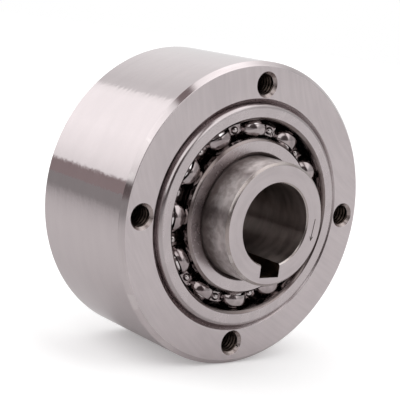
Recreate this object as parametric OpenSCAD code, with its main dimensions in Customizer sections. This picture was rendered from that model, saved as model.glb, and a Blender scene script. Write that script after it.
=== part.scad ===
// Freewheel clutch for a 20 mm shaft: a hub that drives one way and overruns the other.
// Sprung rollers sit on ramps cut in the hub, and a riveted-cage ball bearing at each end
// carries the outer ring. The axis lies along Y, the front faces -Y and Z is up.

/* [Outer ring] */
// Outside diameter
ring_d = 75; // [73:0.5:84]
// Width across the two flat faces
ring_w = 34; // [30:0.5:50]
// Chamfer on the outer rims
rim_chamfer = 1.15; // [0.4:0.05:2]
// Diameter of the hardened track that the rollers run on
track_d = 50; // [49:0.1:51.5]
// Chamfer at the mouth of each bearing seat
seat_chamfer = 1.2; // [0.4:0.05:1.25]

/* [Bolt holes] */
// How far the circle of tapped holes lies inside the middle of the ring's wall
bolt_shift = 0.5; // [0:0.1:0.6]
// Number of tapped holes, each right through the ring
bolt_n = 4; // [3:1:8]
// Drilled diameter under the thread
bolt_drill_d = 5; // [4:0.1:5.2]
// Diameter of the countersink at the face
bolt_sink_d = 6.4; // [5.8:0.1:6.5]

/* [Hub] */
// Shaft bore
bore_d = 20; // [15:0.5:21]
// Diameter where the bearings sit
hub_d = 30; // [28:0.5:32]
// Length over the two hub faces
hub_len = 54; // [50:0.5:80]
// Chamfer on the outer edge of each hub face
hub_chamfer = 0.6; // [0.2:0.05:1.2]
// Chamfer at the mouth of the shaft bore
bore_chamfer = 0.35; // [0.1:0.05:0.8]
// Width of the keyway
key_w = 6; // [4:0.5:8]
// Depth of the keyway floor beyond the bore
key_depth = 2.8; // [1.5:0.1:3.4]

/* [Direction arrow] */
// Distance of the arrow from the axis
arrow_r = 12.3; // [11.4:0.1:13.2]
// Length of the engraved arrow
arrow_len = 5.4; // [3:0.1:8]
// Width of the engraved line
arrow_line = 0.22; // [0.1:0.01:0.5]
// Depth of the engraving
arrow_depth = 0.12; // [0.05:0.01:0.3]

/* [Bearings] */
// Outside diameter of each bearing
bearing_d = 55; // [53:0.5:56]
// Width of each bearing
bearing_b = 9; // [8.4:0.1:9.4]
// How far each bearing stands proud of the ring's face
bearing_proud = 1.1; // [0.2:0.1:1.6]
// Corner radius on the bearing's outside and bore
bearing_corner = 0.9; // [0.3:0.05:1]
// Ball diameter
ball_d = 6.35; // [6:0.05:6.5]
// Balls in each bearing
ball_n = 12; // [8:1:13]
// Angle of the first ball, seen from the front
ball_turn = 1.4; // [-15:0.1:15]
// Height of the outer ring's land above the ball circle
outer_land = 2.4; // [2:0.05:2.8]
// Depth of the inner ring's land below the ball circle
inner_land = 2.05; // [1.8:0.05:2.6]
// Bevel at the outer ring's land
outer_bevel = 0.7; // [0.1:0.05:0.8]
// Bevel at the inner ring's land
inner_bevel = 0.6; // [0.1:0.05:0.9]

/* [Ball cage] */
// Thickness of the pressed sheet
cage_sheet = 0.65; // [0.4:0.05:0.8]
// Radial width of the cage ribbon
cage_w = 2.6; // [2:0.05:3]
// Rivet shank diameter
rivet_d = 1; // [0.7:0.05:1.2]
// Rivet head diameter
rivet_head_d = 1.9; // [1.5:0.05:2.1]
// Rivet head height
rivet_head_h = 0.75; // [0.4:0.05:0.9]

/* [Rollers and ramps] */
// Roller diameter
roller_d = 8; // [7.4:0.1:8.2]
// Chamfer at each end of a roller
roller_chamfer = 0.4; // [0.2:0.05:0.8]
// Number of rollers
roller_n = 8; // [6:1:8]
// Wedge angle between the ramp and the track at the roller
wedge_angle = 6.5; // [5.5:0.1:7.5]
// Travel of a roller from wedged to released
roller_travel = 0.7; // [0.4:0.05:0.9]
// Radial gap between the toothed middle of the hub and the track
star_gap = 0.6; // [0.3:0.05:1]
// Room between a released roller and the wall that holds its plunger
wall_gap = 0.25; // [0.1:0.05:0.5]
// Room between a wedged roller and the rounded far end of its pocket
pocket_gap = 0.5; // [0.3:0.05:0.6]

/* [Plungers and springs] */
// Plunger diameter
plunger_d = 2.9; // [2.5:0.05:3]
// Plunger length
plunger_len = 3.4; // [3:0.05:3.8]
// How far the plunger's axis lies below the roller's
plunger_drop = 0.95; // [0.7:0.05:1.1]
// Diameter of the blind hole in the plunger's back
cup_d = 1.9; // [1.8:0.05:2.1]
// Depth of the blind hole in the plunger's back
cup_depth = 2.4; // [1.8:0.05:2.6]
// Depth of the plunger's hole in the hub
spring_hole_depth = 5.6; // [5:0.05:5.8]
// Outside diameter of the spring
spring_d = 1.7; // [1.4:0.05:1.75]
// Wire diameter of the spring
wire_d = 0.3; // [0.2:0.02:0.36]
// Turns of wire, end turns included
spring_turns = 7; // [5:1:8]

/* [Side plates] */
// Room that each side plate takes between the toothed middle of the hub and a bearing
plate_depth = 2; // [1.5:0.1:3]
// Thickness of the flange that keeps the rollers in line
plate_t = 1.2; // [0.8:0.1:1.3]
// Wall of the collar that spaces the plate from the bearing
collar_wall = 3; // [2:0.1:3.2]
// Radial gap between the flange and the track
plate_gap = 0.8; // [0.4:0.1:1.5]

/* [Clearances] */
// Radial gap between a bearing and its seats
seat_fit = 0.02; // [0.01:0.01:0.05]
// Radial gap between a ball and each groove
ball_fit = 0.05; // [0.02:0.01:0.08]
// Gap between a ball and its cage pocket
cage_fit = 0.1; // [0.05:0.01:0.15]
// Gap between a roller and its ramp, and between it and the track
roller_fit = 0.03; // [0.02:0.01:0.05]
// Gap at each end of a roller
roller_end_gap = 0.1; // [0.05:0.01:0.2]
// Radial gap between a plunger and its hole
plunger_fit = 0.05; // [0.02:0.01:0.08]
// Gap at a seated end of a plunger or spring, and round a rivet shank
seated_gap = 0.02; // [0.01:0.01:0.05]

/* [Hidden] */

fine = 96;
small = 40;
over = 1;
groove_openness = 1.04;

ring_r = ring_d / 2;
half_w = ring_w / 2;
track_r = track_d / 2;
hub_r = hub_d / 2;
bore_r = bore_d / 2;
half_hub = hub_len / 2;

// The bearings set how wide the room between them is, and the tapped holes share the wall round them.
seat_r = bearing_d / 2;
seat_depth = bearing_b - bearing_proud;
half_room = half_w - seat_depth;
bolt_circle = (ring_r + seat_r) / 2 - bolt_shift;
bearing_z = half_room + bearing_b / 2;
ball_r = ball_d / 2;
ball_circle = (hub_r + seat_r) / 2;
groove_r = ball_r * groove_openness;
groove_floor = ball_r + ball_fit;
ball_step = 360 / ball_n;

// Each pocket of the hub has a flat ramp. The wedged roller stands off the ramp's foot by
// the wedge angle, which puts it against the track.
roller_r = roller_d / 2;
roller_circle = track_r - roller_r - roller_fit;
roller_height = roller_circle * cos(wedge_angle);
roller_offset = roller_circle * sin(wedge_angle);
ramp_height = roller_height - roller_r - roller_fit;
wall_offset = roller_r - roller_offset + roller_travel + wall_gap;
star_r = track_r - star_gap;
half_star = half_room - plate_depth;
half_roller = half_star - roller_end_gap;
pocket_step = 360 / roller_n;
pocket_turn = pocket_step / 2;

plunger_r = plunger_d / 2;
plunger_height = roller_height - plunger_drop;
plunger_face = roller_r - roller_offset + seated_gap;
spring_hole_end = wall_offset + spring_hole_depth;
spring_start = plunger_face + plunger_len - cup_depth + seated_gap;
spring_end = spring_hole_end - seated_gap;
wire_r = wire_d / 2;
coil_r = spring_d / 2 - wire_r;
coil_rise = spring_end - spring_start - wire_d;
end_pitch = wire_d * 1.1;
coil_steps = 10;
wire_sides = 6;

// Everything is drawn with the axis along Z and the front upward, then laid along Y.
module lay() {
    rotate([90, 0, 0]) children();
}

// The rear end is the mirror image of the front end, with its balls at the same angles.
module at_end(end) {
    lay() mirror([0, 0, end == "rear" ? 1 : 0]) children();
}

module around(count, radius, first = 0) {
    for (k = [0:count - 1]) rotate([0, 0, first + k * 360 / count]) translate([radius, 0, 0]) children();
}

function both_ends(half) = concat(half, [for (i = [len(half) - 1:-1:0]) [half[i][0], -half[i][1]]]);

// The drilling under the thread runs from face to face, with a countersink at each.
module bolt_hole() {
    drill_r = bolt_drill_d / 2;
    sink_r = bolt_sink_d / 2;
    rotate_extrude($fn = small) polygon(both_ends([
        [0, half_w + over], [sink_r, half_w + over], [sink_r, half_w], [drill_r, half_w + drill_r - sink_r]]));
}

module outer_ring() {
    profile = both_ends([
        [track_r, half_room], [seat_r, half_room], [seat_r, half_w - seat_chamfer],
        [seat_r + seat_chamfer, half_w], [ring_r - rim_chamfer, half_w], [ring_r, half_w - rim_chamfer]]);
    color([0.73, 0.70, 0.69]) lay() difference() {
        rotate_extrude($fn = fine) polygon(profile);
        around(bolt_n, bolt_circle, 90) bolt_hole();
    }
}

// The pocket's flat floor is the ramp. Its far end follows the wedged roller.
module pocket_outline() {
    end_r = roller_r + pocket_gap;
    translate([ramp_height, -roller_offset]) square([track_r, roller_offset + wall_offset]);
    translate([roller_height, -roller_offset - end_r]) square([track_r, end_r]);
    intersection() {
        translate([roller_height, -roller_offset]) circle(r = end_r, $fn = small);
        translate([ramp_height, -roller_offset - end_r]) square([track_r, end_r]);
    }
}

module spring_hole() {
    translate([plunger_height, wall_offset - over, 0]) rotate([-90, 0, 0])
        cylinder(r = plunger_r + plunger_fit, h = spring_hole_depth + over, $fn = small);
}

module keyway() {
    floor_r = bore_r + key_depth;
    translate([-key_w / 2, -floor_r, -half_hub - over]) cube([key_w, floor_r, hub_len + 2 * over]);
}

// The arrow points the way the hub overruns, clockwise seen from the front.
module arrow() {
    head_len = arrow_len * 0.2;
    head_angle = 24;
    middle_angle = -6;
    rotate([0, 0, middle_angle]) translate([arrow_r, 0, half_hub - arrow_depth]) {
        translate([-arrow_line / 2, -arrow_len / 2, 0]) cube([arrow_line, arrow_len, over]);
        for (side = [1, -1]) translate([0, -arrow_len / 2, 0]) rotate([0, 0, side * head_angle])
            translate([-arrow_line / 2, 0, 0]) cube([arrow_line, head_len, over]);
    }
}

module inner_ring() {
    profile = both_ends([
        [bore_r, half_hub - bore_chamfer], [bore_r + bore_chamfer, half_hub], [hub_r - hub_chamfer, half_hub],
        [hub_r, half_hub - hub_chamfer], [hub_r, half_star], [star_r, half_star]]);
    color([0.72, 0.70, 0.69]) lay() difference() {
        rotate_extrude($fn = fine) polygon(profile);
        around(roller_n, 0, pocket_turn) {
            translate([0, 0, -half_star - over]) linear_extrude(2 * (half_star + over)) pocket_outline();
            spring_hole();
        }
        keyway();
        arrow();
    }
}

// A flange beside the rollers and a collar that reaches to the bearing's inner ring.
module side_plate(end) {
    bore = hub_r + seat_fit;
    color([0.60, 0.58, 0.57]) at_end(end) rotate_extrude($fn = fine) polygon([
        [bore, half_star], [track_r - plate_gap, half_star], [track_r - plate_gap, half_star + plate_t],
        [hub_r + collar_wall, half_star + plate_t], [hub_r + collar_wall, half_room], [bore, half_room]]);
}

// A ring's outline in the radial plane: two rounded corners and two bevelled ones, then the groove.
module race_outline(seat, land, bevel, groove_centre) {
    way = sign(land - seat);
    half_b = bearing_b / 2;
    inset = bearing_corner;
    corner = [for (a = [0:15:90]) [seat + way * inset * (1 - cos(a)), half_b - inset * (1 - sin(a))]];
    difference() {
        polygon(both_ends(concat(corner, [[land - way * bevel, half_b], [land, half_b - bevel]])));
        translate([groove_centre, 0]) circle(r = groove_r, $fn = small);
    }
}

module bearing_outer_ring(end) {
    color([0.75, 0.73, 0.72]) at_end(end) translate([0, 0, bearing_z]) rotate_extrude($fn = fine)
        race_outline(seat_r - seat_fit, ball_circle + outer_land, outer_bevel,
            ball_circle + groove_floor - groove_r);
}

module bearing_inner_ring(end) {
    color([0.73, 0.71, 0.70]) at_end(end) translate([0, 0, bearing_z]) rotate_extrude($fn = fine)
        race_outline(hub_r + seat_fit, ball_circle - inner_land, inner_bevel,
            ball_circle - groove_floor + groove_r);
}

module bearing_balls(end) {
    color([0.85, 0.85, 0.86]) at_end(end) translate([0, 0, bearing_z])
        around(ball_n, ball_circle, ball_turn) sphere(r = ball_r, $fn = small);
}

// Half of a ribbon cage: flat between the balls, bulged over each one, drilled for the rivets.
module cage_half(end, side) {
    pocket_r = ball_r + cage_fit;
    bulge_r = pocket_r + cage_sheet;
    color([0.66, 0.64, 0.63]) at_end(end) translate([0, 0, bearing_z]) mirror([0, 0, side == "inner" ? 1 : 0])
        difference() {
            intersection() {
                rotate_extrude($fn = fine) translate([ball_circle - cage_w / 2, 0]) square([cage_w, bulge_r + over]);
                union() {
                    cylinder(r = ball_circle + cage_w, h = cage_sheet, $fn = fine);
                    around(ball_n, ball_circle, ball_turn) sphere(r = bulge_r, $fn = small);
                }
            }
            around(ball_n, ball_circle, ball_turn) sphere(r = pocket_r, $fn = small);
            around(ball_n, ball_circle, ball_turn + ball_step / 2) translate([0, 0, -over])
                cylinder(r = rivet_d / 2 + seated_gap, h = cage_sheet + 2 * over, $fn = small);
        }
}

// Rivets with a domed head on each side of the cage.
module cage_rivets(end) {
    head_r = rivet_head_d / 2;
    dome_r = (head_r * head_r + rivet_head_h * rivet_head_h) / (2 * rivet_head_h);
    color([0.78, 0.77, 0.77]) at_end(end) translate([0, 0, bearing_z])
        around(ball_n, ball_circle, ball_turn + ball_step / 2) rotate_extrude($fn = small) {
            translate([0, -cage_sheet]) square([rivet_d / 2, 2 * cage_sheet]);
            for (side = [0, 1]) mirror([0, side]) intersection() {
                translate([0, cage_sheet + rivet_head_h - dome_r]) circle(r = dome_r, $fn = small);
                translate([0, cage_sheet]) square([head_r, rivet_head_h]);
            }
        }
}

module in_pocket(k) {
    lay() rotate([0, 0, pocket_turn + (k - 1) * pocket_step]) children();
}

module roller(k) {
    color([0.80, 0.80, 0.81]) in_pocket(k) translate([roller_height, -roller_offset, 0])
        rotate_extrude($fn = small) polygon(both_ends([
            [0, half_roller], [roller_r - roller_chamfer, half_roller],
            [roller_r, half_roller - roller_chamfer]]));
}

// A pin with a flat face against the roller and a blind hole that takes the spring.
module plunger(k) {
    color([0.70, 0.68, 0.66]) in_pocket(k) translate([plunger_height, plunger_face, 0]) rotate([-90, 0, 0])
        difference() {
            cylinder(r = plunger_r, h = plunger_len, $fn = small);
            translate([0, 0, plunger_len - cup_depth]) cylinder(r = cup_d / 2, h = cup_depth + over, $fn = small);
        }
}

// Height of the wire's centre after t turns. The first and the last turn lie close.
function coil_height(t) =
    t < 1 ? t * end_pitch :
    t > spring_turns - 1 ? coil_rise - (spring_turns - t) * end_pitch :
    end_pitch + (t - 1) * (coil_rise - 2 * end_pitch) / (spring_turns - 2);

function coil_ring(i) = [for (j = [0:wire_sides - 1])
    let (a = 360 * i / coil_steps, b = 360 * j / wire_sides, r = coil_r + wire_r * cos(b))
    [r * cos(a), r * sin(a), wire_r + coil_height(i / coil_steps) + wire_r * sin(b)]];

module spring(k) {
    last = spring_turns * coil_steps;
    points = [for (i = [0:last]) each coil_ring(i)];
    sides = [for (i = [0:last - 1]) for (j = [0:wire_sides - 1])
        let (a = i * wire_sides + j, b = i * wire_sides + (j + 1) % wire_sides)
        each [[a, b, b + wire_sides], [a, b + wire_sides, a + wire_sides]]];
    start_cap = [for (j = [wire_sides - 1:-1:0]) j];
    end_cap = [for (j = [0:wire_sides - 1]) last * wire_sides + j];
    color([0.55, 0.56, 0.58]) in_pocket(k) translate([plunger_height, spring_start, 0]) rotate([-90, 0, 0])
        polyhedron(points, concat(sides, [start_cap, end_cap]), convexity = 4);
}

outer_ring();
inner_ring();
for (end = ["front", "rear"]) {
    side_plate(end);
    bearing_outer_ring(end);
    bearing_inner_ring(end);
    bearing_balls(end);
    cage_half(end, "outer");
    cage_half(end, "inner");
    cage_rivets(end);
}
for (k = [1:roller_n]) {
    roller(k);
    plunger(k);
    spring(k);
}
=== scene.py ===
# Roller freewheel clutch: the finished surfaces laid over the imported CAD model.
import bpy
import bmesh
import math
from mathutils import Matrix, Vector


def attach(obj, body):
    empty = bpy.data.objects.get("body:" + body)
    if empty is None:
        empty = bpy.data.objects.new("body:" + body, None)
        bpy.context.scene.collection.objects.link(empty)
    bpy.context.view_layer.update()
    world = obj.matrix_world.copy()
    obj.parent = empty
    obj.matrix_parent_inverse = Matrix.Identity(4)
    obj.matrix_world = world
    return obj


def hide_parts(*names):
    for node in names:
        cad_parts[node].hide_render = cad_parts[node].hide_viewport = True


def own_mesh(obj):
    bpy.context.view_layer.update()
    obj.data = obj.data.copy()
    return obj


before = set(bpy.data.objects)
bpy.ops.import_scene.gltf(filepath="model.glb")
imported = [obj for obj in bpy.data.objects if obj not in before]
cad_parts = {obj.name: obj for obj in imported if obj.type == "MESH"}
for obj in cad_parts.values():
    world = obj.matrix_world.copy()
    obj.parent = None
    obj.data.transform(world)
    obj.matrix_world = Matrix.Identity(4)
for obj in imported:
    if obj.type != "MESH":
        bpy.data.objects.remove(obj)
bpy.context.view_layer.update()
mm = 0.001
ends = {"front": 1, "rear": -1}  # which way along the shaft each end looks; the front looks to -Y

cameraView = {
    "yaw": 39.759,  # degrees to the left of straight on to the front face
    "pitch": 9.166,  # degrees above the shaft
    "roll": 7.662,
    "distance": 301.58,  # mm from the middle of the clutch
    "lens": 107.232,
    "shift": (-0.01413, 0.00392),
}

# Levels of the studio by the angle round the shaft: 0 is level to the left, 90 overhead and 180 level
# to the right. Strip lamps stand over a dark room.
studio = {
    "behind": [(-180, 1.0), (-150, 0.8), (-30, 0.35), (9.6, 0.3), (10.4, 1.1), (25, 1.3), (45, 1.45),
               (76, 1.42), (81.5, 1.3), (84.5, 0.9), (92, 0.86), (110, 0.95), (136, 1.0), (150, 0.95),
               (166, 0.87), (172, 0.9), (180, 1.0)],
    "inFront": [(-180, 1.0), (-150, 0.8), (-30, 0.35), (9, 0.1), (12, 1.05), (25, 1.28), (44, 1.45),
                (62, 1.35), (69, 1.05), (73, 0.25), (82, 0.25), (87, 1.4), (105, 1.65), (118, 1.55),
                (130, 1.05), (145, 0.62), (160, 0.6), (180, 0.55)],
    "sideBlend": (-0.1, 0.75),  # from the lamps in front to those behind
    "watcher": (-0.35, -0.93, 0.12),  # the dark side of the room, where the camera stands
    "watcherEdge": (0.85, 0.91),
    "watcherLevel": 0.08,
    "darkTint": (1.12, 0.93, 0.94),
    "backdrop": 1.0,  # what the camera sees past the floor
    "floorDrop": 37.55,  # mm from the shaft down to the floor
    "floorRadius": 3000,
    "floorPale": 0.9,  # for the camera
    "floorLift": 0.26,
    "floorGlow": 0.11,
    "floorGlowTint": (1.06, 0.96, 0.97),
    # Painted shade on the floor as the steel sees it: darker far off to the left
    "floorNear": 0.58,  # as the steel sees it, close by and far off to the left
    "floorFar": 0.2,
    "floorFade": (0.06, 0.25),  # metres to the left
}


def addCamera(view):
    yaw, pitch, roll = (math.radians(view[k]) for k in ("yaw", "pitch", "roll"))
    turn = (Matrix.Rotation(-yaw, 4, "Z") @ Matrix.Rotation(math.pi / 2 - pitch, 4, "X")
            @ Matrix.Rotation(roll, 4, "Z"))
    data = bpy.data.cameras.new("photoCamera")
    data.lens = view["lens"]
    data.shift_x, data.shift_y = view["shift"]
    data.clip_start = 0.005
    camera = bpy.data.objects.new("photoCamera", data)
    camera.matrix_world = Matrix.Translation(turn @ Vector((0, 0, view["distance"] * mm))) @ turn
    bpy.context.scene.collection.objects.link(camera)
    bpy.context.scene.camera = camera


# Short ways to place and join nodes
def addNode(tree, kind, **settings):
    node = tree.nodes.new(kind)
    for name, value in settings.items():
        setattr(node, name, value)
    return node


def feed(tree, socket, value):
    if isinstance(value, bpy.types.NodeSocket):
        tree.links.new(value, socket)
    else:
        socket.default_value = value


def doMath(tree, operation, *values, clamp=False):
    node = addNode(tree, "ShaderNodeMath", operation=operation, use_clamp=clamp)
    for socket, value in zip(node.inputs, values):
        feed(tree, socket, value)
    return node.outputs[0]


def remap(tree, value, low, high, toLow=0.0, toHigh=1.0):
    node = addNode(tree, "ShaderNodeMapRange", interpolation_type="SMOOTHSTEP")
    for socket, number in zip(node.inputs, (value, low, high, toLow, toHigh)):
        feed(tree, socket, number)
    return node.outputs[0]


def mixColours(tree, factor, first, second, blend="MIX"):
    node = addNode(tree, "ShaderNodeMix", data_type="RGBA", blend_type=blend)
    sockets = [s for s in node.inputs if s.type == "RGBA"]
    feed(tree, node.inputs[0], factor)
    feed(tree, sockets[0], first)
    feed(tree, sockets[1], second)
    return [s for s in node.outputs if s.type == "RGBA"][0]


def addRamp(tree, factor, stops, darkTint=(1, 1, 1)):
    node = addNode(tree, "ShaderNodeValToRGB")
    feed(tree, node.inputs[0], factor)
    band = node.color_ramp
    while len(band.elements) > 1:
        band.elements.remove(band.elements[-1])
    for index, (place, level) in enumerate(stops):
        tint = [level * (part if level < 0.5 else 1) for part in darkTint]
        element = band.elements.new(place) if index else band.elements[0]
        element.position = place
        element.color = (*tint, 1)
    return node.outputs[0]


def lightStudio(levels):
    world = bpy.data.worlds.new("studioWorld")
    bpy.context.scene.world = world
    world.use_nodes = True
    tree = world.node_tree
    tree.nodes.clear()
    way = addNode(tree, "ShaderNodeSeparateXYZ")
    feed(tree, way.inputs[0], addNode(tree, "ShaderNodeTexCoord").outputs["Generated"])
    left = doMath(tree, "MULTIPLY", way.outputs[0], -1.0)
    turn = doMath(tree, "DIVIDE", doMath(tree, "ARCTAN2", way.outputs[2], left), math.tau)
    turn = doMath(tree, "ADD", turn, 0.5)
    bands = [addRamp(tree, turn, [((a + 180) / 360, level) for a, level in levels[side]], levels["darkTint"])
             for side in ("inFront", "behind")]
    light = mixColours(tree, remap(tree, way.outputs[1], *levels["sideBlend"]), *bands)
    facing = addNode(tree, "ShaderNodeVectorMath", operation="DOT_PRODUCT")
    feed(tree, facing.inputs[0], addNode(tree, "ShaderNodeTexCoord").outputs["Generated"])
    feed(tree, facing.inputs[1], levels["watcher"])
    dark = (*[levels["watcherLevel"] * part for part in levels["darkTint"]], 1)
    light = mixColours(tree, remap(tree, facing.outputs["Value"], *levels["watcherEdge"]), light, dark)
    seen = addNode(tree, "ShaderNodeLightPath").outputs["Is Camera Ray"]
    pale = (*[levels["backdrop"]] * 3, 1)
    background = addNode(tree, "ShaderNodeBackground")
    feed(tree, background.inputs[0], mixColours(tree, seen, light, pale))
    feed(tree, addNode(tree, "ShaderNodeOutputWorld").inputs[0], background.outputs[0])


def layFloor(levels):
    bm = bmesh.new()
    bmesh.ops.create_circle(bm, cap_ends=True, segments=96, radius=levels["floorRadius"] * mm)
    bmesh.ops.translate(bm, verts=bm.verts, vec=(0, 0, -levels["floorDrop"] * mm))
    mesh = bpy.data.meshes.new("studioFloor")
    bm.to_mesh(mesh)
    floor = bpy.data.objects.new("studioFloor", mesh)
    bpy.context.scene.collection.objects.link(floor)
    material = bpy.data.materials.new("palePaper")
    material.use_nodes = True
    tree = material.node_tree
    tree.nodes.clear()
    place = addNode(tree, "ShaderNodeSeparateXYZ")
    feed(tree, place.inputs[0], addNode(tree, "ShaderNodeTexCoord").outputs["Object"])
    # Painted shade: the floor the steel sees grows darker to the left, while the camera sees it pale
    left = doMath(tree, "MULTIPLY", place.outputs[0], -1.0)
    shade = remap(tree, left, *levels["floorFade"], levels["floorNear"], levels["floorFar"])
    grey = addNode(tree, "ShaderNodeCombineColor")
    for socket in grey.inputs:
        feed(tree, socket, shade)
    pale = levels["floorPale"]
    seen = addNode(tree, "ShaderNodeLightPath").outputs["Is Camera Ray"]
    paper = addNode(tree, "ShaderNodeBsdfDiffuse")
    feed(tree, paper.inputs[0], mixColours(tree, seen, grey.outputs[0], (pale, pale, pale, 1)))
    lift = addNode(tree, "ShaderNodeEmission")
    feed(tree, lift.inputs[0], mixColours(tree, seen, (*levels["floorGlowTint"], 1), (1, 1, 1, 1)))
    feed(tree, lift.inputs[1], remap(tree, seen, 0.0, 1.0, levels["floorGlow"], levels["floorLift"]))
    both = addNode(tree, "ShaderNodeAddShader")
    feed(tree, both.inputs[0], paper.outputs[0])
    feed(tree, both.inputs[1], lift.outputs[0])
    feed(tree, addNode(tree, "ShaderNodeOutputMaterial").inputs[0], both.outputs[0])
    mesh.materials.append(material)


print("camera and studio")
addCamera(cameraView)
lightStudio(studio)
layFloor(studio)
bpy.context.scene.view_settings.view_transform = "Standard"


# Node groups that several finishes share. Lengths in them are per metre.
def startGroup(name, takes, gives):
    group = bpy.data.node_groups.new(name, "ShaderNodeTree")
    for label, value in takes.items():
        socket = group.interface.new_socket(name=label, in_out="INPUT", socket_type="NodeSocketFloat")
        socket.default_value = value
    for label in gives:
        group.interface.new_socket(name=label, in_out="OUTPUT", socket_type="NodeSocketFloat")
    return group, addNode(group, "NodeGroupInput").outputs, addNode(group, "NodeGroupOutput").inputs


def addNoise(tree, vector, scale, detail, w=None):
    node = addNode(tree, "ShaderNodeTexNoise", noise_dimensions="3D" if w is None else "4D")
    feed(tree, node.inputs["Vector"], vector)
    feed(tree, node.inputs["Scale"], scale)
    feed(tree, node.inputs["Detail"], detail)
    if w is not None:
        feed(tree, node.inputs["W"], w)
    return node.outputs[0]


def packVector(tree, *values):
    node = addNode(tree, "ShaderNodeCombineXYZ")
    for socket, value in zip(node.inputs, values):
        feed(tree, socket, value)
    return node.outputs[0]


def placeOn(tree):
    node = addNode(tree, "ShaderNodeSeparateXYZ")
    feed(tree, node.inputs[0], addNode(tree, "ShaderNodeTexCoord").outputs["Object"])
    return node.outputs


# Lines that run round the shaft, as a lathe or a cylindrical grinder leaves them
def makeTurnedLines():
    tree, takes, gives = startGroup("turnedLines", {
        "Line Density": 1500.0, "Arc Density": 120.0,
        "Chatter Density": 260.0, "Chatter": 0.0}, ["Height", "Tone"])
    x, y, z = placeOn(tree)
    radius = doMath(tree, "SQRT", doMath(tree, "ADD", doMath(tree, "MULTIPLY", x, x),
                                         doMath(tree, "MULTIPLY", z, z)))
    across = doMath(tree, "MULTIPLY", radius, takes[0])
    along = doMath(tree, "MULTIPLY", y, takes[0])
    turnX = doMath(tree, "MULTIPLY", x, takes[1])
    turnZ = doMath(tree, "MULTIPLY", z, takes[1])
    fine = addNoise(tree, packVector(tree, across, along, turnX), 1.0, 3.0, turnZ)
    slowAlong, slowX, slowZ = (doMath(tree, "MULTIPLY", v, takes[2]) for v in (y, x, z))
    slowPlace = packVector(tree, doMath(tree, "MULTIPLY", slowAlong, 1.6), slowX, slowZ)
    chatter = addNoise(tree, slowPlace, 1.0, 2.5)
    feed(tree, gives["Height"], doMath(tree, "MULTIPLY_ADD", chatter, takes[3], fine))
    wideAcross, wideAlong = (doMath(tree, "MULTIPLY", v, 0.35) for v in (across, along))
    wide = packVector(tree, wideAcross, wideAlong, turnX)
    feed(tree, gives["Tone"], addNoise(tree, wide, 1.0, 4.0, turnZ))
    return tree


# Arcs that a surface grinder's wheel leaves across a flat face
def makeGroundArcs():
    tree, takes, gives = startGroup("groundArcs", {"Line Density": 1800.0, "Wheel Centre X": 0.06,
                                                   "Wheel Centre Z": 0.05}, ["Height", "Tone"])
    x, y, z = placeOn(tree)
    offX = doMath(tree, "SUBTRACT", x, takes[1])
    offZ = doMath(tree, "SUBTRACT", z, takes[2])
    reach = doMath(tree, "SQRT", doMath(tree, "ADD", doMath(tree, "MULTIPLY", offX, offX),
                                        doMath(tree, "MULTIPLY", offZ, offZ)))
    lines = doMath(tree, "MULTIPLY", reach, takes[0])
    slowX, slowZ = (doMath(tree, "MULTIPLY", v, 90.0) for v in (x, z))
    feed(tree, gives["Height"], addNoise(tree, packVector(tree, lines, slowX, slowZ), 1.0, 3.0))
    wide = packVector(tree, doMath(tree, "MULTIPLY", lines, 0.3), slowX, slowZ)
    feed(tree, gives["Tone"], addNoise(tree, wide, 1.0, 5.0))
    return tree


# Thin oil and fingermarks that change the tone and the gloss in soft patches
def makeOilFilm():
    tree, takes, gives = startGroup("oilFilm", {"Patch Density": 120.0}, ["Film", "Specks"])
    place = addNode(tree, "ShaderNodeTexCoord").outputs["Object"]
    film = addNoise(tree, place, takes[0], 4.0)
    feed(tree, gives["Film"], remap(tree, film, 0.38, 0.66))
    specks = addNoise(tree, place, doMath(tree, "MULTIPLY", takes[0], 14.0), 2.0)
    feed(tree, gives["Specks"], remap(tree, specks, 0.62, 0.74))
    return tree


# Bright rubbed edges, from how sharply the surface bends
def makeEdgeRub():
    tree, takes, gives = startGroup("edgeRub", {"Reach": 0.56}, ["Rub"])
    bend = addNode(tree, "ShaderNodeNewGeometry").outputs["Pointiness"]
    feed(tree, gives["Rub"], remap(tree, bend, 0.51, takes[0]))
    return tree


# Painted shade with old oil from the bearings: the hub darkens along its length towards them, in a ragged
# band
def makeOilAndShadeNearBearings():
    tree, takes, gives = startGroup("oilCreep", {"Clean End": 0.0247, "Dark End": 0.0187, "Mottle": 0.0033},
                                    ["Creep"])
    depth = doMath(tree, "ABSOLUTE", placeOn(tree)[1])
    mottle = addNoise(tree, addNode(tree, "ShaderNodeTexCoord").outputs["Object"], 900.0, 5.0)
    ragged = doMath(tree, "MULTIPLY", doMath(tree, "SUBTRACT", mottle, 0.5), takes[2])
    feed(tree, gives["Creep"], remap(tree, doMath(tree, "ADD", depth, ragged), takes[0], takes[1]))
    return tree


print("finishes")
groups = {"turnedLines": makeTurnedLines(), "groundArcs": makeGroundArcs(), "oilFilm": makeOilFilm(),
          "oilCreep": makeOilAndShadeNearBearings(), "edgeRub": makeEdgeRub()}


def useGroup(tree, name, **values):
    node = addNode(tree, "ShaderNodeGroup", node_tree=groups[name])
    for socket in node.inputs:
        label = socket.name.replace(" ", "")
        label = label[0].lower() + label[1:]
        if label in values:
            socket.default_value = values[label]
    return node.outputs


rubbedSteel = (0.8, 0.76, 0.75)
toneRange = (0.3, 0.7)


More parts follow.
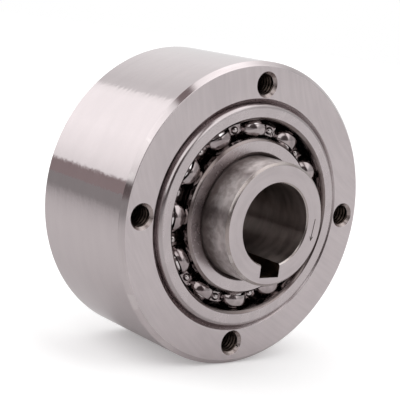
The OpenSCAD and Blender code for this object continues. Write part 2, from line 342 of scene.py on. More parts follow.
def makeSteel(name, look):
    material = bpy.data.materials.new(name)
    material.use_nodes = True
    tree = material.node_tree
    shader = tree.nodes["Principled BSDF"]
    lines = useGroup(tree, look["lines"], **look.get("lineValues", {}))
    film = useGroup(tree, "oilFilm", patchDensity=look.get("patches", 120.0))
    rub = useGroup(tree, "edgeRub")["Rub"]
    base, shaded = (*look["colour"], 1), (*[c * look["dip"] for c in look["colour"]], 1)
    toned = mixColours(tree, remap(tree, lines["Tone"], *toneRange), shaded, base)
    filmed = doMath(tree, "MULTIPLY", film["Film"], look["film"])
    oiled = mixColours(tree, filmed, toned, (*look["filmColour"], 1), "MULTIPLY")
    bright = mixColours(tree, doMath(tree, "MULTIPLY", rub, look["rub"]), oiled, (*rubbedSteel, 1))
    # The hub's painted shade and oil, darker towards the bearings
    if look.get("creep"):
        stainedAndShaded = useGroup(tree, "oilCreep")["Creep"]
        bright = mixColours(tree, stainedAndShaded, bright, (*look["creep"], 1), "MULTIPLY")
    feed(tree, shader.inputs["Base Color"], bright)
    low, high = look["roughness"]
    rough = doMath(tree, "ADD", remap(tree, lines["Tone"], *toneRange, low, high),
                   doMath(tree, "MULTIPLY", film["Specks"], look["specks"]))
    feed(tree, shader.inputs["Roughness"], rough)
    shader.inputs["Metallic"].default_value = 1.0
    if look.get("grain"):
        shader.inputs["Anisotropic"].default_value = look["grain"]
        shader.inputs["Anisotropic Rotation"].default_value = 0.25  # the gloss spreads across the lines
        tangent = addNode(tree, "ShaderNodeTangent", direction_type="RADIAL", axis="Y")
        feed(tree, shader.inputs["Tangent"], tangent.outputs[0])
    bump = addNode(tree, "ShaderNodeBump")
    bump.inputs["Strength"].default_value = 1.0
    bump.inputs["Distance"].default_value = look["depth"] * mm
    feed(tree, bump.inputs["Height"], lines["Height"])
    feed(tree, shader.inputs["Normal"], bump.outputs[0])
    return material


warmSteel = (0.62, 0.56, 0.568)
looks = {
    "groundOutside": {"colour": warmSteel, "dip": 0.97, "roughness": (0.038, 0.068), "depth": 0.02,
                      "lines": "turnedLines", "lineValues": {"lineDensity": 900.0, "arcDensity": 110.0,
                                                             "chatterDensity": 420.0, "chatter": 1.2},
                      "film": 0.12, "filmColour": (0.92, 0.92, 0.93), "specks": 0.03, "rub": 0.0},
    "groundFace": {"colour": (0.685, 0.622, 0.631), "dip": 0.93, "roughness": (0.31, 0.36), "depth": 0.006,
                   "lines": "groundArcs", "lineValues": {"lineDensity": 3600.0},
                   "film": 0.3, "filmColour": (0.88, 0.88, 0.89), "specks": 0.05, "rub": 0.0},
    "turnedEdge": {"colour": (0.66, 0.6, 0.607), "dip": 0.9, "roughness": (0.07, 0.13), "depth": 0.004,
                   "lines": "turnedLines", "lineValues": {"lineDensity": 3000.0, "arcDensity": 90.0},
                   "film": 0.3, "filmColour": (0.86, 0.84, 0.84), "specks": 0.05, "rub": 0.3},
    "seatEdge": {"colour": (0.52, 0.467, 0.472), "dip": 0.85, "roughness": (0.2, 0.28), "depth": 0.004,
                 "lines": "turnedLines", "lineValues": {"lineDensity": 3000.0, "arcDensity": 90.0},
                 "film": 0.5, "filmColour": (0.72, 0.66, 0.65), "specks": 0.05, "rub": 0.1},
    "countersink": {"colour": (0.46, 0.4, 0.388), "dip": 0.75, "roughness": (0.2, 0.3), "depth": 0.006,
                    "lines": "turnedLines", "lineValues": {"lineDensity": 2600.0, "arcDensity": 700.0},
                    "film": 0.6, "filmColour": (0.55, 0.48, 0.45), "specks": 0.1, "rub": 0.0},
    # Painted shade: the very dark colour stands for the shade deep in the bolt holes; the hub's engraved
    # arrow takes it as a dark mark
    "threadSteel": {"colour": (0.12, 0.092, 0.078), "dip": 0.5, "roughness": (0.25, 0.4), "depth": 0.006,
                    "lines": "turnedLines", "lineValues": {"lineDensity": 2600.0, "arcDensity": 700.0},
                    "film": 0.6, "filmColour": (0.4, 0.33, 0.28), "specks": 0.1, "rub": 0.0},
    "hubOutside": {"colour": (0.7, 0.636, 0.63), "dip": 0.8, "roughness": (0.42, 0.52), "depth": 0.012,
                   "grain": 1.0, "creep": (0.24, 0.216, 0.21),
                   "lines": "turnedLines", "lineValues": {"lineDensity": 1500.0, "arcDensity": 180.0},
                   "film": 0.7, "filmColour": (0.66, 0.63, 0.62), "patches": 600.0, "specks": 0.1,
                   "rub": 0.0},
    "hubRim": {"colour": (0.47, 0.422, 0.408), "dip": 0.8, "roughness": (0.16, 0.26), "depth": 0.006,
               "lines": "turnedLines", "lineValues": {"lineDensity": 2400.0, "arcDensity": 140.0},
               "film": 0.5, "filmColour": (0.8, 0.72, 0.68), "patches": 220.0, "specks": 0.08, "rub": 0.3},
    "hubFace": {"colour": (0.655, 0.594, 0.602), "dip": 0.9, "roughness": (0.28, 0.36), "depth": 0.004,
                "lines": "turnedLines", "lineValues": {"lineDensity": 2400.0, "arcDensity": 140.0},
                "film": 0.3, "filmColour": (0.88, 0.87, 0.88), "specks": 0.04, "rub": 0.0},
    "hubBore": {"colour": (0.27, 0.222, 0.206), "dip": 0.75, "roughness": (0.3, 0.4), "depth": 0.006,
                "grain": 1.0,
                "lines": "turnedLines", "lineValues": {"lineDensity": 1800.0, "arcDensity": 150.0},
                "film": 0.5, "filmColour": (0.6, 0.55, 0.53), "specks": 0.06, "rub": 0.0},
    "keywaySteel": {"colour": (0.2, 0.137, 0.097), "dip": 0.6, "roughness": (0.3, 0.42), "depth": 0.006,
                    "lines": "turnedLines", "lineValues": {"lineDensity": 1500.0, "arcDensity": 300.0},
                    "film": 0.6, "filmColour": (0.5, 0.4, 0.33), "specks": 0.1, "rub": 0.0},
    "raceFace": {"colour": (0.645, 0.585, 0.593), "dip": 0.92, "roughness": (0.22, 0.28), "depth": 0.004,
                 "lines": "groundArcs", "lineValues": {"lineDensity": 2200.0, "wheelCentreX": 0.07,
                                                       "wheelCentreZ": -0.03},
                 "film": 0.25, "filmColour": (0.87, 0.86, 0.87), "specks": 0.05, "rub": 0.0},
    "raceCorner": {"colour": (0.56, 0.507, 0.512), "dip": 0.85, "roughness": (0.15, 0.22), "depth": 0.003,
                   "lines": "turnedLines", "lineValues": {"lineDensity": 3000.0, "arcDensity": 90.0},
                   "film": 0.4, "filmColour": (0.7, 0.66, 0.65), "specks": 0.06, "rub": 0.1},
    # Painted shade inside the bearing, with oil: a dark finish for the groove and lands
    "raceTrack": {"colour": (0.3, 0.255, 0.25), "dip": 0.85, "roughness": (0.14, 0.24), "depth": 0.003,
                  "lines": "turnedLines", "lineValues": {"lineDensity": 3000.0, "arcDensity": 90.0},
                  "film": 0.5, "filmColour": (0.6, 0.52, 0.48), "specks": 0.04, "rub": 0.1},
    "ballSteel": {"colour": (0.81, 0.77, 0.78), "dip": 0.97, "roughness": (0.03, 0.06), "depth": 0.0005,
                  "lines": "turnedLines", "lineValues": {"lineDensity": 700.0, "arcDensity": 700.0},
                  "film": 0.25, "filmColour": (0.82, 0.78, 0.75), "specks": 0.06, "rub": 0.0},
    "cageSteel": {"colour": (0.52, 0.46, 0.465), "dip": 0.75, "roughness": (0.1, 0.18), "depth": 0.006,
                  "lines": "turnedLines", "lineValues": {"lineDensity": 700.0, "arcDensity": 700.0},
                  "film": 0.5, "filmColour": (0.6, 0.53, 0.52), "specks": 0.08, "rub": 0.3},
    "rivetSteel": {"colour": (0.64, 0.59, 0.595), "dip": 0.85, "roughness": (0.12, 0.22), "depth": 0.004,
                   "lines": "turnedLines", "lineValues": {"lineDensity": 1500.0, "arcDensity": 1500.0},
                   "film": 0.4, "filmColour": (0.7, 0.66, 0.63), "specks": 0.08, "rub": 0.3},
    "rollerSteel": {"colour": (0.66, 0.64, 0.64), "dip": 0.94, "roughness": (0.08, 0.13), "depth": 0.002,
                    "lines": "turnedLines", "lineValues": {"lineDensity": 1800.0, "arcDensity": 200.0},
                    "film": 0.3, "filmColour": (0.8, 0.78, 0.76), "specks": 0.05, "rub": 0.3},
    "plateSteel": {"colour": (0.46, 0.43, 0.42), "dip": 0.85, "roughness": (0.28, 0.4), "depth": 0.006,
                   "lines": "turnedLines", "lineValues": {"lineDensity": 1600.0, "arcDensity": 90.0},
                   "film": 0.5, "filmColour": (0.65, 0.6, 0.57), "specks": 0.06, "rub": 0.3},
    "plungerSteel": {"colour": (0.5, 0.47, 0.46), "dip": 0.88, "roughness": (0.18, 0.26), "depth": 0.003,
                     "lines": "turnedLines", "lineValues": {"lineDensity": 1500.0, "arcDensity": 1500.0},
                     "film": 0.4, "filmColour": (0.7, 0.66, 0.62), "specks": 0.06, "rub": 0.3},
    "springWire": {"colour": (0.36, 0.35, 0.36), "dip": 0.85, "roughness": (0.18, 0.28), "depth": 0.002,
                   "lines": "turnedLines", "lineValues": {"lineDensity": 2500.0, "arcDensity": 2500.0},
                   "film": 0.4, "filmColour": (0.7, 0.68, 0.66), "specks": 0.05, "rub": 0.3},
}
finishes = {name: makeSteel(name, look) for name, look in looks.items()}


# Mesh helpers. Outlines lie in the XY plane: x is the distance from the shaft's axis, the front is -Y.
def drawOutline(bm, corners):
    verts = [bm.verts.new((radius * mm, -along * mm, 0)) for radius, along, _ in corners]
    edges = [bm.edges.new((a, b)) for a, b in zip(verts, verts[1:] + verts[:1])]
    for size in sorted({c[2] for c in corners if c[2] > 0}):
        picked = [v for v, c in zip(verts, corners) if c[2] == size]
        bmesh.ops.bevel(bm, geom=picked, offset=size * mm, offset_type="OFFSET", affect="VERTICES",
                        segments=3 if size < 0.3 else 6, profile=0.5, material=-1)
    return edges


def spinOutline(bm, steps, centre=(0, 0, 0)):
    bmesh.ops.spin(bm, geom=bm.verts[:] + bm.edges[:], cent=centre, axis=(0, 1, 0), dvec=(0, 0, 0),
                   angle=math.tau, steps=steps, use_merge=True, use_duplicate=False)
    bmesh.ops.remove_doubles(bm, verts=bm.verts, dist=1e-7)
    bmesh.ops.recalc_face_normals(bm, faces=bm.faces)


def bothEnds(half):
    return half + [(radius, -along, size) for radius, along, size in reversed(half)]


def arcCorners(centre, radius, fromAngle, toAngle, count):
    angles = [math.radians(fromAngle + (toAngle - fromAngle) * i / (count - 1)) for i in range(count)]
    return [(centre + radius * math.cos(a), radius * math.sin(a), 0) for a in angles]


def makeObject(name, bm):
    mesh = bpy.data.meshes.new(name)
    bm.to_mesh(mesh)
    bm.free()
    piece = bpy.data.objects.new(name, mesh)
    bpy.context.scene.collection.objects.link(piece)
    return piece


def bakeModifiers(piece):
    bpy.context.view_layer.update()
    mesh = bpy.data.meshes.new_from_object(piece.evaluated_get(bpy.context.evaluated_depsgraph_get()))
    old = piece.data
    piece.modifiers.clear()
    piece.data = mesh
    bpy.data.meshes.remove(old)


def cutAway(piece, cutters):
    for cutter in cutters:
        modifier = piece.modifiers.new("cut", "BOOLEAN")
        modifier.operation = "DIFFERENCE"
        modifier.solver = "EXACT"
        modifier.object = cutter
    bakeModifiers(piece)
    for cutter in cutters:
        bpy.data.meshes.remove(cutter.data)


def smoothPiece(piece, angle=32):
    for polygon in piece.data.polygons:
        polygon.use_smooth = abs(polygon.normal.y) < 0.9999
    piece.data.set_sharp_from_angle(angle=math.radians(angle))
    modifier = piece.modifiers.new("evenNormals", "WEIGHTED_NORMAL")
    modifier.keep_sharp = True
    bakeModifiers(piece)


def paint(piece, names, choose=None):
    for name in names:
        piece.data.materials.append(finishes[name])
    if choose:
        for polygon in piece.data.polygons:
            polygon.material_index = choose(polygon)


def fit(piece, node, body):
    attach(piece, body)
    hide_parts(node)


def offAxis(polygon):
    return math.hypot(polygon.center.x, polygon.center.z) / mm


print("outer ring")
ringSizes = {
    "radius": 37.5, "halfWidth": 17.0, "rimChamfer": 1.15,
    "seatRadius": 27.5, "seatChamfer": 1.2, "seatFloor": 9.1, "trackRadius": 25.0,
    "holeCircle": 32.0, "holeCount": 4, "drillRadius": 2.5, "sinkRadius": 3.2,
    "threadRadius": 2.72, "pitch": 1.0, "threadTurns": 12, "threadStart": 16.2, "edgeBreak": 0.08,
    "threadOverlap": 0.1, "threadFlank": 0.37, "sinkShown": 0.6,
    "steps": 384,
}


def holeCentre(sizes, index):
    a = math.tau * index / sizes["holeCount"]
    return Vector((math.cos(a), 0, math.sin(a))) * sizes["holeCircle"] * mm


def drillCutter(sizes, centre):
    past = 1.0
    reach = sizes["halfWidth"] + past
    sink = sizes["sinkRadius"] - sizes["drillRadius"]
    half = [(0, reach, 0), (sizes["sinkRadius"] + past, reach, 0),
            (sizes["drillRadius"], sizes["halfWidth"] - sink, 0)]
    bm = bmesh.new()
    drawOutline(bm, bothEnds(half))
    spinOutline(bm, 48)
    bmesh.ops.translate(bm, verts=bm.verts, vec=centre)
    return makeObject("drillCutter", bm)


def threadCutter(sizes, centre, way):
    pitch, turns, perTurn = sizes["pitch"], sizes["threadTurns"], 24
    start = sizes["threadStart"]
    root, flank = sizes["drillRadius"] - sizes["threadOverlap"], sizes["threadFlank"] * pitch
    bm = bmesh.new()
    points = [(root, start - flank), (root, start + flank), (sizes["threadRadius"], start)]
    face = bm.faces.new([bm.verts.new((r * mm, -way * along * mm, 0)) for r, along in points])
    bmesh.ops.spin(bm, geom=[face] + face.edges[:] + face.verts[:], cent=(0, 0, 0), axis=(0, 1, 0),
                   dvec=(0, way * pitch / perTurn * mm, 0), angle=way * math.tau * turns,
                   steps=perTurn * turns, use_merge=False, use_duplicate=False)
    bmesh.ops.recalc_face_normals(bm, faces=bm.faces)
    bmesh.ops.translate(bm, verts=bm.verts, vec=centre)
    return makeObject("threadCutter", bm)


def makeOuterRing(sizes):
    edge = sizes["edgeBreak"]
    bm = bmesh.new()
    drawOutline(bm, bothEnds([
        (sizes["trackRadius"], sizes["seatFloor"], 0.15),
        (sizes["seatRadius"], sizes["seatFloor"], 0),
        (sizes["seatRadius"], sizes["halfWidth"] - sizes["seatChamfer"], edge),
        (sizes["seatRadius"] + sizes["seatChamfer"], sizes["halfWidth"], edge),
        (sizes["radius"] - sizes["rimChamfer"], sizes["halfWidth"], edge),
        (sizes["radius"], sizes["halfWidth"] - sizes["rimChamfer"], edge)]))
    spinOutline(bm, sizes["steps"])
    ring = makeObject("outerRing", bm)
    centres = [holeCentre(sizes, i) for i in range(sizes["holeCount"])]
    cutAway(ring, [drillCutter(sizes, c) for c in centres])
    cutAway(ring, [threadCutter(sizes, c, way) for c in centres for way in (1, -1)])
    smoothPiece(ring)

    def choose(polygon):
        inHole = min((Vector((polygon.center.x, 0, polygon.center.z)) - c).length for c in centres) / mm
        flat = abs(polygon.normal.y) > 0.95
        if inHole < sizes["sinkRadius"] and not flat:
            # Deeper down the hole takes the very dark finish: painted shade
            return 4 if abs(polygon.center.y) < (sizes["halfWidth"] - sizes["sinkShown"]) * mm else 3
        if flat:
            return 1
        if offAxis(polygon) < sizes["holeCircle"]:
            return 5
        return 0 if offAxis(polygon) > sizes["radius"] - 0.02 else 2
    paint(ring, ["groundOutside", "groundFace", "turnedEdge", "countersink", "threadSteel", "seatEdge"],
          choose)
    fit(ring, "outer_ring", "housing")


makeOuterRing(ringSizes)

print("hub")
hubSizes = {
    "radius": 15.0, "halfLength": 27.0, "chamfer": 0.6, "boreRadius": 10.0, "boreChamfer": 0.35,
    "keyWidth": 6.0, "keyFloor": 12.8, "starRadius": 24.4, "starHalf": 7.1, "edgeBreak": 0.07,
    "pockets": 8, "firstPocket": 22.5, "rampHeight": 16.805, "rollerHeight": 20.835, "rollerOffset": 2.374,
    "rollerRadius": 4.0, "pocketGap": 0.5, "wallOffset": 2.576,
    "plungerHeight": 19.885, "springHoleRadius": 1.5, "springHoleEnd": 8.176,
    "arrowRadius": 12.3, "arrowLength": 5.4, "arrowLine": 0.22, "arrowDepth": 0.12, "arrowAngle": -6,
    "barbAngle": 24, "barbLength": 0.2, "arrowReach": 1.5, "arrowFrom": 0.02, "arrowTo": 0.2,
    "steps": 288,
}


# Radial, along the shaft and round it: the directions at one pocket
def pocketFrame(angle, height, offset):
    a = math.radians(angle)
    out, ahead = Vector((math.cos(a), 0, math.sin(a))), Vector((-math.sin(a), 0, math.cos(a)))
    turn = Matrix((out, Vector((0, 1, 0)), ahead)).transposed().to_4x4()
    return Matrix.Translation((out * height + ahead * offset) * mm) @ turn


def pocketAngles(sizes):
    return [sizes["firstPocket"] + 360 / sizes["pockets"] * k for k in range(sizes["pockets"])]


def pocketCutter(sizes, angle):
    reach, half = 32.0, sizes["starHalf"] + 1
    endRadius = sizes["rollerRadius"] + sizes["pocketGap"]
    high, offset, ramp = sizes["rollerHeight"], -sizes["rollerOffset"], sizes["rampHeight"]
    turnIn = math.acos((high - ramp) / endRadius)
    points = [(reach, sizes["wallOffset"]), (ramp, sizes["wallOffset"])]
    for i in range(9):
        a = math.pi - turnIn - (math.pi / 2 - turnIn) * i / 8
        points.append((high + endRadius * math.cos(a), offset - endRadius * math.sin(a)))
    points.append((reach, offset - endRadius))
    bm = bmesh.new()
    face = bm.faces.new([bm.verts.new((x * mm, -half * mm, z * mm)) for x, z in points])
    grown = bmesh.ops.extrude_face_region(bm, geom=[face])["geom"]
    bmesh.ops.translate(bm, verts=[v for v in grown if isinstance(v, bmesh.types.BMVert)],
                        vec=(0, 2 * half * mm, 0))
    bmesh.ops.recalc_face_normals(bm, faces=bm.faces)
    bmesh.ops.transform(bm, matrix=pocketFrame(angle, 0, 0), verts=bm.verts)
    return makeObject("pocketCutter", bm)


def springHoleCutter(sizes, angle):
    depth = sizes["springHoleEnd"] - sizes["wallOffset"] + 1
    bm = bmesh.new()
    bmesh.ops.create_cone(bm, cap_ends=True, segments=32, radius1=sizes["springHoleRadius"] * mm,
                          radius2=sizes["springHoleRadius"] * mm, depth=depth * mm)
    middle = sizes["springHoleEnd"] - depth / 2
    bmesh.ops.transform(bm, matrix=pocketFrame(angle, sizes["plungerHeight"], middle), verts=bm.verts)
    return makeObject("springHoleCutter", bm)


def boxCutter(low, high, turn=Matrix()):
    bm = bmesh.new()
    bmesh.ops.create_cube(bm, size=1)
    size, middle = (high - low) * mm, (high + low) / 2 * mm
    bmesh.ops.scale(bm, vec=size, verts=bm.verts)
    bmesh.ops.translate(bm, vec=middle, verts=bm.verts)
    bmesh.ops.transform(bm, matrix=turn, verts=bm.verts)
    return makeObject("boxCutter", bm)


# A shaft and two barbs, pointing the way the hub overruns
def arrowCutters(sizes):
    lineHalf, half = sizes["arrowLine"] / 2, sizes["arrowLength"] / 2
    front = -sizes["halfLength"]
    place = (Matrix.Rotation(-math.radians(sizes["arrowAngle"]), 4, "Y")
             @ Matrix.Translation((sizes["arrowRadius"] * mm, 0, 0)))
    bottom = front + sizes["arrowDepth"]
    cutters = [boxCutter(Vector((-lineHalf, front - 1, -half)), Vector((lineHalf, bottom, half)), place)]
    for side in (1, -1):
        barb = (place @ Matrix.Translation((0, 0, -half * mm))
                @ Matrix.Rotation(side * math.radians(sizes["barbAngle"]), 4, "Y"))
        tip = Vector((lineHalf, bottom, sizes["arrowLength"] * sizes["barbLength"]))
        cutters.append(boxCutter(Vector((-lineHalf, front - 1, -lineHalf * 0.5)), tip, barb))
    return cutters


def makeHub(sizes):
    edge = sizes["edgeBreak"]
    bm = bmesh.new()
    drawOutline(bm, bothEnds([
        (sizes["boreRadius"], sizes["halfLength"] - sizes["boreChamfer"], 0),
        (sizes["boreRadius"] + sizes["boreChamfer"], sizes["halfLength"], edge),
        (sizes["radius"] - sizes["chamfer"], sizes["halfLength"], edge),
        (sizes["radius"], sizes["halfLength"] - sizes["chamfer"], edge),
        (sizes["radius"], sizes["starHalf"], 0),
        (sizes["starRadius"], sizes["starHalf"], 0.2)]))
    spinOutline(bm, sizes["steps"])
    hub = makeObject("keyedHub", bm)
    past = sizes["halfLength"] + 1
    side = sizes["keyWidth"] / 2
    key = boxCutter(Vector((-side, -past, -sizes["keyFloor"])), Vector((side, past, 0)))
    angles = pocketAngles(sizes)
    cutAway(hub, [pocketCutter(sizes, a) for a in angles])
    cutAway(hub, [springHoleCutter(sizes, a) for a in angles])
    cutAway(hub, [key] + arrowCutters(sizes))
    smoothPiece(hub)

    def choose(polygon):
        if offAxis(polygon) < sizes["boreRadius"] + 0.02:
            return 2
        sunk = sizes["halfLength"] - abs(polygon.center.y) / mm
        inArrow = abs(offAxis(polygon) - sizes["arrowRadius"]) < sizes["arrowReach"] and polygon.center.x > 0
        if inArrow and sizes["arrowFrom"] < sunk < sizes["arrowTo"]:
            return 5
        if abs(polygon.normal.y) < 0.5 and offAxis(polygon) < sizes["keyFloor"] + 1:
            return 4
        if abs(polygon.normal.y) > 0.95:
            return 1
        atEnd = abs(polygon.center.y) > 0.9 * sizes["halfLength"] * mm
        return 3 if abs(polygon.normal.y) > 0.3 and atEnd else 0
    paint(hub, ["hubOutside", "hubFace", "hubBore", "hubRim", "keywaySteel", "threadSteel"], choose)
    fit(hub, "inner_ring", "hub")


makeHub(hubSizes)

print("bearings")
bearingSizes = {
    "seatRadius": 27.5, "hubRadius": 15.0, "seatGap": 0.02, "half": 4.5, "middle": 13.6, "corner": 1.1,
    "ballCircle": 21.25, "ballRadius": 3.175, "ballGap": 0.05, "grooveRadius": 3.302,
    "outerLand": 2.4, "innerLand": 2.05, "outerBevel": 0.7, "innerBevel": 0.6,
    "balls": 12, "firstBall": 1.4, "steps": 288,
    "cageHalfWidth": 1.3, "cageSheet": 0.65, "pocketRadius": 3.275, "cageBlend": 0.35, "cageStepsPerBall": 36,
    "rivetShank": 0.5, "rivetHead": 0.95, "rivetRise": 0.75,
}


def raceCorners(sizes, seat, land, bevel, grooveCentre):
    way = 1 if land > seat else -1
    half = sizes["half"]
    halfAngle = math.degrees(math.acos(abs(land - grooveCentre) / sizes["grooveRadius"]))
    middle = 0 if way < 0 else 180
    groove = arcCorners(grooveCentre, sizes["grooveRadius"], middle - way * halfAngle,
                        middle + way * halfAngle, 17)
    if groove[0][1] > 0:
        groove = groove[::-1]
    outside = [(land, -half + bevel, 0.06), (land - way * bevel, -half, 0.05), (seat, -half, sizes["corner"]),
               (seat, half, sizes["corner"]), (land - way * bevel, half, 0.05), (land, half - bevel, 0.06)]
    return outside + groove[::-1]


def makeRace(sizes, end, name, node, body, corners):
    bm = bmesh.new()
    drawOutline(bm, corners)
    spinOutline(bm, sizes["steps"])
    bmesh.ops.translate(bm, verts=bm.verts, vec=(0, -ends[end] * sizes["middle"] * mm, 0))
    race = makeObject(name, bm)
    smoothPiece(race, 40)

    def choose(polygon):
        if abs(polygon.normal.y) > 0.95:
            return 0
        atSeat = min(abs(offAxis(polygon) - sizes[k]) for k in ("seatRadius", "hubRadius")) < sizes["corner"]
        # Groove and lands take the dark finish that paints the shade inside the bearing
        return 1 if atSeat else 2
    paint(race, ["raceFace", "raceCorner", "raceTrack"], choose)
    fit(race, node, body)


def makeBalls(sizes, end):
    bm = bmesh.new()
    for k in range(sizes["balls"]):
        a = math.radians(sizes["firstBall"] + 360 / sizes["balls"] * k)
        place = Vector((math.cos(a) * sizes["ballCircle"], -ends[end] * sizes["middle"],
                        math.sin(a) * sizes["ballCircle"])) * mm
        bmesh.ops.create_uvsphere(bm, u_segments=48, v_segments=24, radius=sizes["ballRadius"] * mm,
                                  matrix=Matrix.Translation(place) @ Matrix.Rotation(k * 0.7, 4, (1, 1, 0.3)))
    balls = makeObject(end + "Balls", bm)
    for polygon in balls.data.polygons:
        polygon.use_smooth = True
    paint(balls, ["ballSteel"])
    fit(balls, end + "_bearing_balls", end + "_ball_set")


# The larger of two heights, with a soft corner between them
def softMax(a, b, blend):
    h = max(blend - abs(a - b), 0) / blend
    return max(a, b) + h * h * blend / 4


def cageHeights(sizes, x, z):
    angle = math.atan2(z, x)
    step = math.tau / sizes["balls"]
    first = math.radians(sizes["firstBall"])
    nearest = round((angle - first) / step) * step + first
    ballX, ballZ = sizes["ballCircle"] * math.cos(nearest), sizes["ballCircle"] * math.sin(nearest)
    away = math.hypot(x - ballX, z - ballZ)
    inside, outside = sizes["pocketRadius"], sizes["pocketRadius"] + sizes["cageSheet"]
    low = math.sqrt(max(inside ** 2 - away ** 2, 0))
    high = math.sqrt(max(outside ** 2 - away ** 2, 0))
    return low, softMax(high, sizes["cageSheet"], sizes["cageBlend"])


def makeCageHalf(sizes, end, side):
    half, middle = sizes["cageHalfWidth"], sizes["ballCircle"]
    across = 6
    bm = bmesh.new()
    radii = [middle - half + 2 * half * i / across for i in range(across + 1)]
    corners = [(r, sizes["cageSheet"], 0) for r in radii] + [(r, 0, 0) for r in reversed(radii)]
    drawOutline(bm, corners)
    spinOutline(bm, sizes["balls"] * sizes["cageStepsPerBall"])
    facing = ends[end] * (1 if side == "outer" else -1)
    for vert in bm.verts:
        low, high = cageHeights(sizes, vert.co.x / mm, vert.co.z / mm)
        raised = -vert.co.y > sizes["cageSheet"] * mm / 2
        vert.co.y = -(high if raised else low) * mm
    sharp = [e for e in bm.edges if len(e.link_faces) == 2 and e.calc_face_angle() > 1.0]
    bmesh.ops.bevel(bm, geom=sharp, offset=0.1 * mm, offset_type="OFFSET", affect="EDGES", segments=2,
                    profile=0.5, material=-1, clamp_overlap=True)
    bmesh.ops.scale(bm, vec=(1, facing, 1), verts=bm.verts)
    bmesh.ops.translate(bm, verts=bm.verts, vec=(0, -ends[end] * sizes["middle"] * mm, 0))
    bmesh.ops.recalc_face_normals(bm, faces=bm.faces)
    cage = makeObject(end + "Cage" + side.capitalize(), bm)
    smoothPiece(cage, 50)
    paint(cage, ["cageSteel"])
    fit(cage, f"{end}_cage_{side}_half", end + "_ball_set")


def makeRivets(sizes, end):
    sheet, head, rise = sizes["cageSheet"], sizes["rivetHead"], sizes["rivetRise"]
    dome = [(head * math.cos(a), sheet + 0.12 + (rise - 0.12) * math.sin(a), 0)
            for a in (math.pi / 2 * i / 6 for i in range(7))]
    half = [(0, sheet + rise, 0)] + dome[-2::-1] + [(head, sheet, 0.05), (sizes["rivetShank"], sheet, 0)]
    bm = bmesh.new()
    drawOutline(bm, bothEnds(half))
    spinOutline(bm, 24)
    one = bpy.data.meshes.new("rivet")
    bm.to_mesh(one)
    bm.clear()
    for k in range(sizes["balls"]):
        a = math.radians(sizes["firstBall"] + 360 / sizes["balls"] * (k + 0.5))
        place = Vector((math.cos(a) * sizes["ballCircle"], -ends[end] * sizes["middle"],
                        math.sin(a) * sizes["ballCircle"])) * mm
        known = set(bm.verts)
        bm.from_mesh(one)
        bmesh.ops.translate(bm, verts=[v for v in bm.verts if v not in known], vec=place)
    bpy.data.meshes.remove(one)
    rivets = makeObject(end + "CageRivets", bm)
    smoothPiece(rivets, 45)
    paint(rivets, ["rivetSteel"])
    fit(rivets, end + "_cage_rivets", end + "_ball_set")


def makeBearing(sizes, end):
    reach = sizes["ballRadius"] + sizes["ballGap"] - sizes["grooveRadius"]
    circle = sizes["ballCircle"]
    makeRace(sizes, end, end + "BearingOuterRing", end + "_bearing_outer_ring", "housing",
             raceCorners(sizes, sizes["seatRadius"] - sizes["seatGap"], circle + sizes["outerLand"],
                         sizes["outerBevel"], circle + reach))
    makeRace(sizes, end, end + "BearingInnerRing", end + "_bearing_inner_ring", "hub",
             raceCorners(sizes, sizes["hubRadius"] + sizes["seatGap"], circle - sizes["innerLand"],
                         sizes["innerBevel"], circle - reach))
    makeBalls(sizes, end)
    for side in ("outer", "inner"):
        makeCageHalf(sizes, end, side)
    makeRivets(sizes, end)


for end in ends:
    makeBearing(bearingSizes, end)

print("rollers, plungers, springs and side plates")
rollerSizes = {"radius": 4.0, "half": 7.0, "chamfer": 0.4, "height": 20.835, "offset": -2.374}
plungerSizes = {"radius": 1.45, "length": 3.4, "cup": 0.95, "cupDepth": 2.4, "height": 19.885, "start": 1.646}
springSizes = {"coilRadius": 0.7, "wire": 0.15, "turns": 7, "start": 2.666, "end": 8.156, "height": 19.885,
               "perTurn": 24, "travel": 0.7}
plateSizes = {"bore": 15.02, "rim": 24.2, "inside": 7.1, "flange": 1.2, "collar": 18.0, "outside": 9.1}


def makeRoller(sizes, k, angle):
    bm = bmesh.new()
    drawOutline(bm, bothEnds([(0, sizes["half"], 0), (sizes["radius"] - sizes["chamfer"], sizes["half"], 0.1),
                              (sizes["radius"], sizes["half"] - sizes["chamfer"], 0.1)]))
    spinOutline(bm, 64)
    bmesh.ops.transform(bm, matrix=pocketFrame(angle, sizes["height"], sizes["offset"]), verts=bm.verts)
    roller = makeObject(f"roller{k}", bm)
    smoothPiece(roller)
    paint(roller, ["rollerSteel"])
    fit(roller, f"roller_{k}", f"roller_unit_{k}")


def makePlunger(sizes, k, angle):
    bm = bmesh.new()
    length, back = sizes["length"], sizes["length"] - sizes["cupDepth"]
    drawOutline(bm, [(0, 0, 0), (sizes["radius"], 0, 0.12), (sizes["radius"], length, 0.08),
                     (sizes["cup"], length, 0.06), (sizes["cup"], back, 0.1), (0, back, 0)])
    spinOutline(bm, 40)
    lieRound = Matrix.Rotation(-math.pi / 2, 4, "X")
    place = pocketFrame(angle, sizes["height"], sizes["start"]) @ lieRound
    bmesh.ops.transform(bm, matrix=place, verts=bm.verts)
    bmesh.ops.recalc_face_normals(bm, faces=bm.faces)
    plunger = makeObject(f"plunger{k}", bm)
    smoothPiece(plunger)
    paint(plunger, ["plungerSteel"])
    fit(plunger, f"plunger_{k}", f"roller_unit_{k}")


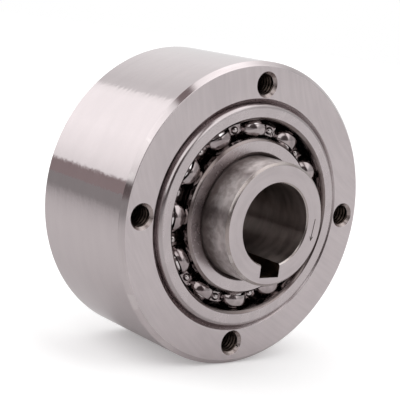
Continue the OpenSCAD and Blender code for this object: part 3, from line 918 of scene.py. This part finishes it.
# Closed end turns, with the open turns between them
def makeSpring(sizes, k, angle):
    wire, closedPitch = sizes["wire"], sizes["wire"] * 2.2
    length = sizes["end"] - sizes["start"] - 2 * wire
    openPitch = (length - 2 * closedPitch) / (sizes["turns"] - 2)
    bm = bmesh.new()
    bmesh.ops.create_circle(bm, cap_ends=True, segments=10, radius=wire * mm,
                            matrix=Matrix.Translation((sizes["coilRadius"] * mm, 0, wire * mm))
                            @ Matrix.Rotation(math.pi / 2, 4, "X"))
    geom = bm.verts[:] + bm.edges[:] + bm.faces[:]
    for pitch, turns in ((closedPitch, 1), (openPitch, sizes["turns"] - 2), (closedPitch, 1)):
        geom = bmesh.ops.spin(bm, geom=geom, cent=(0, 0, 0), axis=(0, 0, 1), angle=math.tau * turns,
                              dvec=(0, 0, pitch / sizes["perTurn"] * mm), steps=sizes["perTurn"] * turns,
                              use_merge=False, use_duplicate=False)["geom_last"]
    bmesh.ops.recalc_face_normals(bm, faces=bm.faces)
    bmesh.ops.transform(bm, matrix=pocketFrame(angle, sizes["height"], sizes["start"]), verts=bm.verts)
    spring = makeObject(f"spring{k}", bm)
    smoothPiece(spring, 50)
    paint(spring, ["springWire"])
    fit(spring, f"spring_{k}", "hub")
    place = pocketFrame(angle, sizes["height"], sizes["end"])
    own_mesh(spring)


def makeSidePlate(sizes, end):
    bm = bmesh.new()
    shoulder = sizes["inside"] + sizes["flange"]
    drawOutline(bm, [(r, ends[end] * along, size) for r, along, size in (
        (sizes["bore"], sizes["inside"], 0.1), (sizes["rim"], sizes["inside"], 0.1),
        (sizes["rim"], shoulder, 0.1), (sizes["collar"], shoulder, 0),
        (sizes["collar"], sizes["outside"], 0.1), (sizes["bore"], sizes["outside"], 0.1))])
    spinOutline(bm, 192)
    plate = makeObject(end + "SidePlate", bm)
    smoothPiece(plate)
    paint(plate, ["plateSteel"])
    fit(plate, end + "_side_plate", "hub")


for k, angle in enumerate(pocketAngles(hubSizes), start=1):
    makeRoller(rollerSizes, k, angle)
    makePlunger(plungerSizes, k, angle)
    makeSpring(springSizes, k, angle)
for end in ends:
    makeSidePlate(plateSizes, end)
